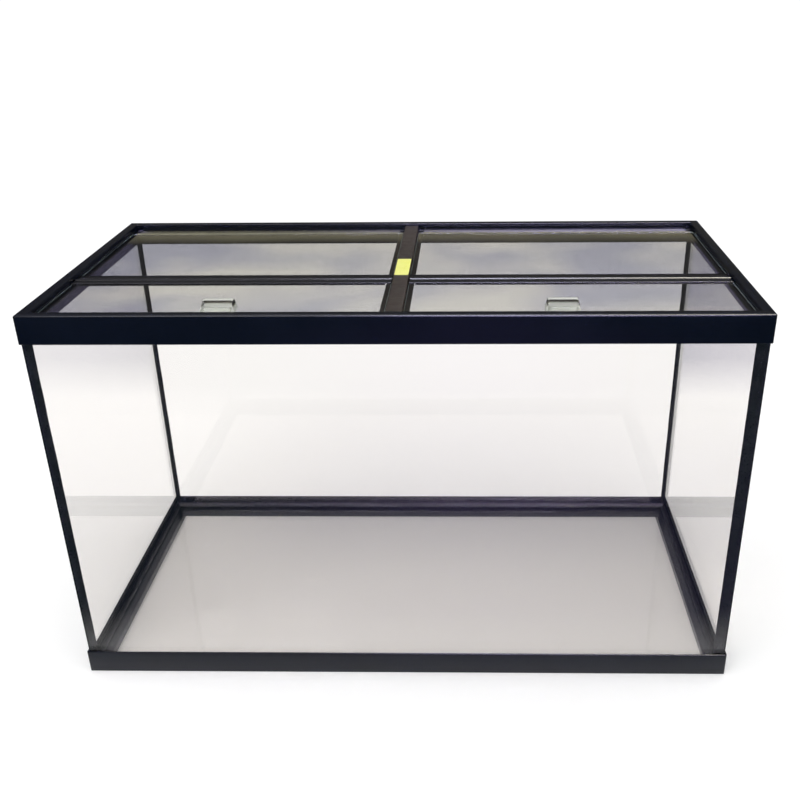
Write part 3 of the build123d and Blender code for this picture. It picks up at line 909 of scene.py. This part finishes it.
# ------------------------------------------------------------------ lids
def hinge_channel(name, body, outward, pane, lower_span):
    """C-shaped grip on a glass edge. outward is the sign of y away from the hinge line."""
    box = box_mm(name)
    near, far = (box.y1, box.y0) if outward < 0 else (box.y0, box.y1)
    top, low, bottom = box.z1, box.z0, pane.z0
    leg = 1.7
    web = near + outward * 2.0
    # y, z, corner radius
    upper = extrude("upper_leg", arc_profile([
        (near, bottom, 0.3), (near, top, 0.6), (far, top - 0.15, 0.55),
        (far, top - leg + 0.05, 0.3), (web, top - leg, 0.2), (web, bottom, 0.2),
    ], steps=3), pane.x0, pane.x1, steps=12, bevel=0.3)
    lower = extrude("lower_leg", arc_profile([
        (near, bottom + 0.6, 0.0), (near, low, 0.5), (far, low, 0.5), (far, low + leg, 0.3),
        (web, low + leg, 0.2), (web, bottom + 0.6, 0.0),
    ], steps=3), *lower_span, steps=12, bevel=0.3)
    put(join(name + "_x", upper, lower), VINYL, body, name)


# section of the hinge film about the hinge line: y, z
FILM_SECTION = [
    (-2.6, -0.55), (-1.9, -0.35), (-1.3, 0.25), (-0.85, 0.82), (-0.3, 1.12), (0.3, 1.12),
    (0.85, 0.82), (1.3, 0.25), (1.9, -0.35), (2.6, -0.55), (2.6, -0.75), (1.5, -0.95),
    (0.8, -0.5), (0.0, -0.25), (-0.8, -0.5), (-1.5, -0.95), (-2.6, -0.75),
]


def hinge_film(side, pane):
    """Flexible film that joins both channels along the hinge line."""
    node = side + "_hinge_web"
    box = box_mm(node)
    y, z = (box.y0 + box.y1) / 2, (box.z0 + box.z1) / 2
    film = extrude(side + "_hinge_film", [(y + dy, z + dz) for dy, dz in FILM_SECTION],
                   pane.x0, pane.x1, steps=24, bevel=0.25, smooth=40.0)
    paint(film, VINYL)
    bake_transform(film)
    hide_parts(node)


def rear_strip(side, lid, pane):
    """Clear soft strip: grips the rear glass edge, its tail lies rippled on the rear ledge."""
    node = side + "_back_strip"
    box = box_mm(node)
    edge = box_mm(side + "_rear_glass").y1
    thickness, end_trim = 1.3, 10.2
    inner, outer = edge + 0.2, edge + 1.5
    grip, tail = box.y0, box.y1
    low, high = pane.z0 - 0.1, pane.z1 + 0.1
    # y, z, corner radius
    profile = arc_profile([
        (grip, low - thickness, 0.3), (outer, low - thickness, 0.7), (outer, pane.z0, 0.3),
        (tail, pane.z0, 0.4), (tail, pane.z0 + thickness, 0.5),
        (outer, pane.z0 + thickness, 0.4), (outer, high + thickness, 0.9),
        (grip, high + thickness, 0.4), (grip, pane.z1 + 0.12, 0.3),
        (inner, pane.z1 + 0.12, 0.2), (inner, low, 0.2), (grip, low, 0.3),
    ], steps=3)

    def ripple(y, z, x):
        reach = max(0.0, (y - outer) / (tail - outer))
        size = abs(wave(x * 0.012, 4.0, 0.5) + 0.5 * wave(x * 0.05, 8.0, 0.2))
        return (-(0.7 * size + 0.2) * reach, 0.55 * size * reach)

    strip = extrude(side + "_rear_strip", profile, pane.x0 + end_trim, pane.x1 - end_trim,
                    steps=70, bevel=0.25, ripple=ripple, smooth=35.0)
    put(strip, CLEAR_VINYL, lid, node)


def slab(name, sections, radius):
    """Solid through four-cornered sections with every edge rounded."""
    verts = [point for section in sections for point in section]
    last = len(verts) - 4
    faces = [(3, 2, 1, 0), tuple(last + i for i in range(4))]
    for a in range(0, last, 4):
        for j in range(4):
            k = (j + 1) % 4
            faces.append((a + j, a + k, a + 4 + k, a + 4 + j))
    return mesh_object(name, verts, faces, smooth=35.0,
                       offset=radius * MM, segments=3, clamp_overlap=True)


def bent_plate(centre_x, thickness, radius, points):
    """Plate that follows points of (y, z, half width)."""
    sections = []
    last = len(points) - 1
    for i, (y, z, half_width) in enumerate(points):
        here = Vector((y, z))
        before = Vector(points[max(0, i - 1)][:2])
        after = Vector(points[min(last, i + 1)][:2])
        along = (after - before).normalized()
        offset = Vector((-along.y, along.x)) * thickness / 2
        if 0 < i < last:
            # widen the mitre so that the thickness holds through the bend
            bend = (here - before).normalized().angle((after - here).normalized())
            offset *= 1.0 / max(0.6, math.cos(bend / 2))
        x0, x1 = centre_x - half_width, centre_x + half_width
        y0, y1, z0, z1 = y - offset.x, y + offset.x, z - offset.y, z + offset.y
        sections.append([(x0, y0, z0), (x1, y0, z0), (x1, y1, z1), (x0, y1, z1)])
    return slab("handle_plate", sections, radius)


def finger_handle(side, flap):
    """One moulded cup: base, low front wall, leaning back wall, top lip and two cheeks."""
    node = side + "_handle"
    box = box_mm(node)
    centre_x = (box.x0 + box.x1) / 2
    low, high, back = box.z0, box.z1, box.y1
    base_z, wall_y = low + 1.2, back - 26.5
    # thickness, edge radius, points of (y, z, half width)
    plates = [
        (2.25, 0.55, [(back - 36.2, base_z, 29.4), (back - 20.0, base_z, 29.9),
                      (back - 1.4, base_z, 29.9)]),
        (2.6, 0.7, [(wall_y, 726.6, 21.3), (wall_y, low + 0.4, 21.5)]),
        (2.6, 0.7, [(back - 1.5, low + 0.4, 29.7), (back - 2.3, low + 5.0, 28.4),
                    (back - 3.6, low + 11.5, 26.5), (back - 4.7, low + 17.0, 24.8)]),
        (2.2, 0.8, [(back - 4.6, high - 1.5, 24.3), (back - 8.5, high - 1.2, 24.4),
                    (back - 13.1, high - 1.5, 24.1)]),
    ]
    # z, outer half width, thickness, front y, back y
    cheek = [
        (low + 0.2, 29.9, 2.6, back - 36.0, back - 0.4),
        (low + 5.0, 28.5, 2.6, back - 29.5, back - 1.2),
        (low + 11.0, 26.7, 2.6, back - 20.5, back - 2.4),
        (high - 0.6, 24.5, 2.5, back - 13.3, back - 3.8),
    ]
    parts = [bent_plate(centre_x, *plate) for plate in plates]
    for sign in (-1, 1):
        sections = []
        for z, half_width, thickness, y0, y1 in cheek:
            outer = centre_x + sign * half_width
            inner = outer - sign * thickness
            sections.append([(outer, y0, z), (inner, y0, z), (inner, y1, z), (outer, y1, z)])
        parts.append(slab("handle_cheek", sections, radius=0.6))
    handle = union(side + "_finger_handle", *parts, smooth=35.0)
    put(handle, ACRYLIC, flap, node)


def handle_pad(side, flap, pane):
    """Clear adhesive pad between flap glass and handle."""
    node = side + "_handle_pad"
    box = box_mm(node)
    outline = arc_profile([(box.x0, box.y0, 2.0), (box.x1, box.y0, 2.0),
                           (box.x1, box.y1, 2.0), (box.x0, box.y1, 2.0)], steps=5)
    pad = extrude(side + "_pad", outline, pane.z1 + 0.06, box_mm(side + "_handle").z0 - 0.05,
                  place=along_z, bevel=0.1)
    put(pad, ADHESIVE, flap, node)


# how far the channels' lower legs stop short of the glass at the left and right end
for side, left_trim, right_trim in (("left", 13, 11), ("right", 11, 13)):
    lid, flap = side + "_lid", side + "_flap"
    pane = box_mm(side + "_front_glass")
    lower_span = (pane.x0 + left_trim, pane.x1 - right_trim)
    hinge_channel(side + "_front_hinge_channel", flap, -1, pane, lower_span)
    hinge_channel(side + "_rear_hinge_channel", lid, 1, pane, lower_span)
    hinge_film(side, pane)
    rear_strip(side, lid, pane)
    finger_handle(side, flap)
    handle_pad(side, flap, pane)


# ------------------------------------------------------------------ studio, metres
def floor_material():
    """White floor that glows to pure white far out and looks dark in some reflections."""
    mat, g = material("floor_white")
    place = g.add("TexCoord").outputs["Object"]
    position = g.split(place)
    diffuse = g.add("BsdfDiffuse", {"Color": (0.92, 0.92, 0.92)}).outputs[0]
    glow = g.add("Emission", {"Strength": 0.15}).outputs[0]
    near = g.add("AddShader", {0: diffuse, 1: glow}).outputs[0]
    far = g.add("Emission", {"Strength": 1.05}).outputs[0]
    distance = g.add("VectorMath", {0: place}, operation="LENGTH").outputs["Value"]
    farness = g.remap(distance, span=(1.2, 4.0), curve="SMOOTHSTEP")
    white = g.mix_shader(farness, near, far)

    off_centre = g.calc("ABSOLUTE", g.calc("SUBTRACT", position["X"], 0.15))
    dark_colour = g.mix(g.remap(off_centre, span=(0.1, 0.75), to=(1.0, 0.0)),
                        (0.03, 0.05, 0.075), (0.13, 0.11, 0.27))
    dark = g.add("Emission", {"Color": dark_colour}).outputs[0]
    in_front = g.remap(position["Y"], span=(-0.30, -0.50))
    behind = g.remap(position["Y"], span=(1.0, 1.35), to=(0.0, 0.9))
    dark_zone = g.calc("MAXIMUM", in_front, behind)
    darkness = g.calc("MULTIPLY", reflection_mask(g), dark_zone)
    g.output(g.mix_shader(darkness, white, dark))
    return mat


def stage_floor():
    """Round floor just under the tank, rings finer near the middle."""
    radii = [0.4, 0.8, 1.2, 1.8, 2.6, 4.0, 7.0, 14.0, 30.0, 60.0]
    count = 48
    z = -0.0006
    verts, faces = [(0.0, 0.0, z)], []
    for radius in radii:
        for j in range(count):
            angle = 2 * math.pi * j / count
            verts.append((radius * math.cos(angle), radius * math.sin(angle), z))
    for j in range(count):
        k = (j + 1) % count
        faces.append((0, 1 + j, 1 + k))
        for i in range(len(radii) - 1):
            a, b = 1 + i * count, 1 + (i + 1) * count
            faces.append((a + j, b + j, b + k, a + k))
    mesh = bpy.data.meshes.new("floor")
    mesh.from_pydata(verts, [], faces)
    floor = link(bpy.data.objects.new("floor", mesh))
    mesh.materials.append(floor_material())


def studio_world():
    """White surroundings that light the scene; glossy surfaces mirror a dim room instead."""
    world = bpy.data.worlds.new("studio")
    bpy.context.scene.world = world
    world.use_nodes = True
    world.cycles.sampling_method = "NONE"
    world.node_tree.nodes.clear()
    g = Graph(world.node_tree)

    view = g.add("TexCoord").outputs["Generated"]
    direction = g.split(view)
    patches = g.remap(g.noise(view, scale=1.7, detail=1.0, rough=0.4), span=(0.38, 0.62))
    low_tone = g.mix(patches, (0.034, 0.034, 0.050), (0.052, 0.050, 0.044))
    rise = g.remap(direction["Z"], span=(0.30, 0.85))
    room = g.mix(rise, low_tone, (0.42, 0.42, 0.48))

    def window(value, lo, hi, soft):
        """1 while value is between lo and hi, with soft ends."""
        start = g.remap(value, span=(lo - soft, lo + soft))
        end = g.remap(value, span=(hi - soft, hi + soft), to=(1.0, 0.0))
        return g.calc("MULTIPLY", start, end)

    elevation = g.calc("ARCTAN2", direction["Z"], direction["Y"])
    degrees = g.calc("MULTIPLY", elevation, 180.0 / math.pi)
    cool_to_warm = g.mix(g.remap(direction["X"], span=(0.08, 0.17)),
                         (0.80, 0.80, 1.0), (0.92, 0.87, 0.72))
    # three long softboxes and a faint warm band low down: angle over the X axis from the
    # back horizon (from, to, softness), x of the direction (from, to, softness), tone, power
    softboxes = (
        ((103.0, 121.0, 1.2), (-0.10, 0.42, 0.06), cool_to_warm, 34.0),
        ((160.5, 171.5, 1.2), (-0.06, 0.34, 0.10), (0.62, 0.56, 1.0), 30.0),
        ((46.0, 58.0, 1.2), (-0.30, 0.34, 0.08), (0.93, 0.91, 1.0), 6.0),
        ((13.98, 14.80, 0.20), (-0.36, 0.30, 0.05), (1.0, 0.93, 0.62), 0.28),
    )
    for angle_range, x_range, tone, power in softboxes:
        mask = g.calc("MULTIPLY", window(degrees, *angle_range),
                      window(direction["X"], *x_range))
        room = g.mix(mask, room, g.mix(1.0, tone, (power,) * 3, blend="MULTIPLY"))

    white = g.add("Background", {"Color": (1.0, 1.0, 1.0), "Strength": 1.0}).outputs[0]
    mirrored = g.add("Background", {"Color": room}).outputs[0]
    g.add("OutputWorld", {"Surface": g.mix_shader(reflection_mask(g), white, mirrored)})


def key_light():
    """Large soft lamp from the front left, above the tank."""
    lamp = bpy.data.lights.new("key", "AREA")
    lamp.energy = 34
    lamp.size = 1.8
    key = link(bpy.data.objects.new("key", lamp))
    key.location = (-1.4, -2.4, 3.4)
    aim = Vector((0, 0, 0.5)) - Vector((-1.4, -2.4, 3.4))
    key.rotation_euler = aim.to_track_quat("-Z", "Y").to_euler()


def camera():
    lens = bpy.data.cameras.new("cam")
    lens.lens = 43.5133
    lens.sensor_width = 36.0
    lens.shift_x = -0.06267
    lens.shift_y = 0.05409
    lens.clip_start = 0.05
    lens.clip_end = 200.0
    cam = link(bpy.data.objects.new("cam", lens))
    cam.location = (0.12723, -1.78450, 1.23976)
    cam.rotation_euler = [math.radians(angle) for angle in (63.3343, 0.5391, 1.1083)]
    bpy.context.scene.camera = cam


stage_floor()
studio_world()
key_light()
camera()
bpy.context.scene.view_settings.view_transform = "Standard"
